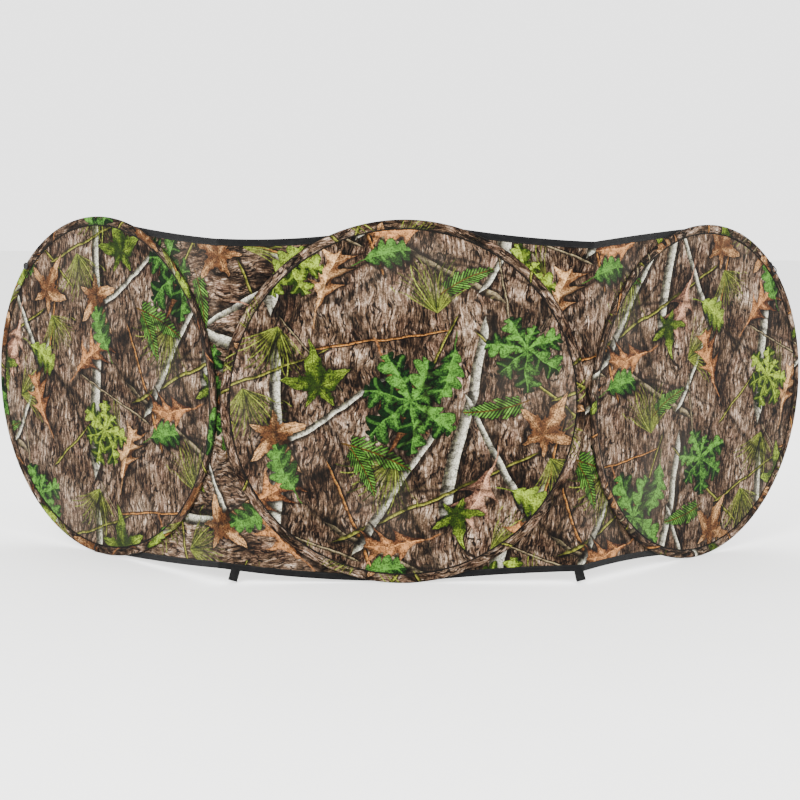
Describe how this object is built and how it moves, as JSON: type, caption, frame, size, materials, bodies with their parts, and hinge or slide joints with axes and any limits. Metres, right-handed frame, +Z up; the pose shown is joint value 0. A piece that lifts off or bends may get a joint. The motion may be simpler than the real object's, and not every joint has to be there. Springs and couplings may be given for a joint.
{
  "type": "pop-up ground blind",
  "caption": "Low pop-up hunting ground blind of round camouflage panels on spring hoops, joined by bound gussets with webbing stake loops.",
  "frame": {"origin": "middle of the whole blind's footprint, on the ground", "axes": "+X to the right seen from the front, +Y towards the back where the wings fold, +Z up"},
  "size_m": [1.8932, 0.5076, 0.74],
  "materials": {
    "panel_cloth": "woven polyester with a woodland print",
    "sleeve_cloth": "woven polyester with a woodland print",
    "binding_tape": "folded black polyester tape, slight sheen",
    "webbing": "black ribbed webbing",
    "elastic_cord": "braided black elastic cord",
    "button_plastic": "semi-gloss black moulded plastic",
    "spring_steel": "rolled spring steel",
    "ferrule_metal": "crimped tube"
  },
  "bodies": {
    "centre": {"centre_panel_cloth": "panel_cloth", "centre_hoop_sleeve": "sleeve_cloth", "centre_spring_hoop": "spring_steel", "centre_hoop_ferrule": "ferrule_metal", "left_gusset_inner": "panel_cloth", "left_top_binding_inner": "binding_tape", "left_bottom_binding_inner": "binding_tape", "right_gusset_inner": "panel_cloth", "right_top_binding_inner": "binding_tape", "right_bottom_binding_inner": "binding_tape"},
    "left_wing": {"left_panel_cloth": "panel_cloth", "left_hoop_sleeve": "sleeve_cloth", "left_spring_hoop": "spring_steel", "left_hoop_ferrule": "ferrule_metal", "left_gusset_outer": "panel_cloth", "left_top_binding_outer": "binding_tape", "left_bottom_binding_outer": "binding_tape", "left_closure_button": "button_plastic", "left_sleeve_tape": "binding_tape"},
    "right_wing": {"right_panel_cloth": "panel_cloth", "right_hoop_sleeve": "sleeve_cloth", "right_spring_hoop": "spring_steel", "right_hoop_ferrule": "ferrule_metal", "right_gusset_outer": "panel_cloth", "right_top_binding_outer": "binding_tape", "right_bottom_binding_outer": "binding_tape", "right_closure_tab": "webbing"},
    "left_stake_loop": {"left_stake_loop": "webbing"},
    "right_stake_loop": {"right_stake_loop": "webbing"},
    "closure_elastic": {"right_closure_elastic": "elastic_cord"}
  },
  "joints": [
    {"name": "left_wing_fold", "type": "hinge", "parent": "centre", "child": "left_wing", "pos_m": [-0.39442, -0.24408, 0.37], "axis": [0, 0, -1], "range_deg": [-57.5, 137.5]},
    {"name": "right_wing_fold", "type": "hinge", "parent": "centre", "child": "right_wing", "pos_m": [0.34958, -0.23778, 0.37], "axis": [0, 0, 1], "range_deg": [-52.5, 142.5]},
    {"name": "left_stake_loop_swing", "type": "hinge", "parent": "centre", "child": "left_stake_loop", "pos_m": [-0.36342, -0.24548, 0.0216], "axis": [1, 0, 0], "range_deg": [-70, 70]},
    {"name": "right_stake_loop_swing", "type": "hinge", "parent": "centre", "child": "right_stake_loop", "pos_m": [0.34558, -0.24548, 0.0204], "axis": [1, 0, 0], "range_deg": [-70, 70]},
    {"name": "closure_elastic_lift", "type": "hinge", "parent": "right_wing", "child": "closure_elastic", "pos_m": [0.84032, 0.11653, 0.64769], "axis": [-0.51, -0.3913, -0.766], "range_deg": [0, 120]}
  ]
}
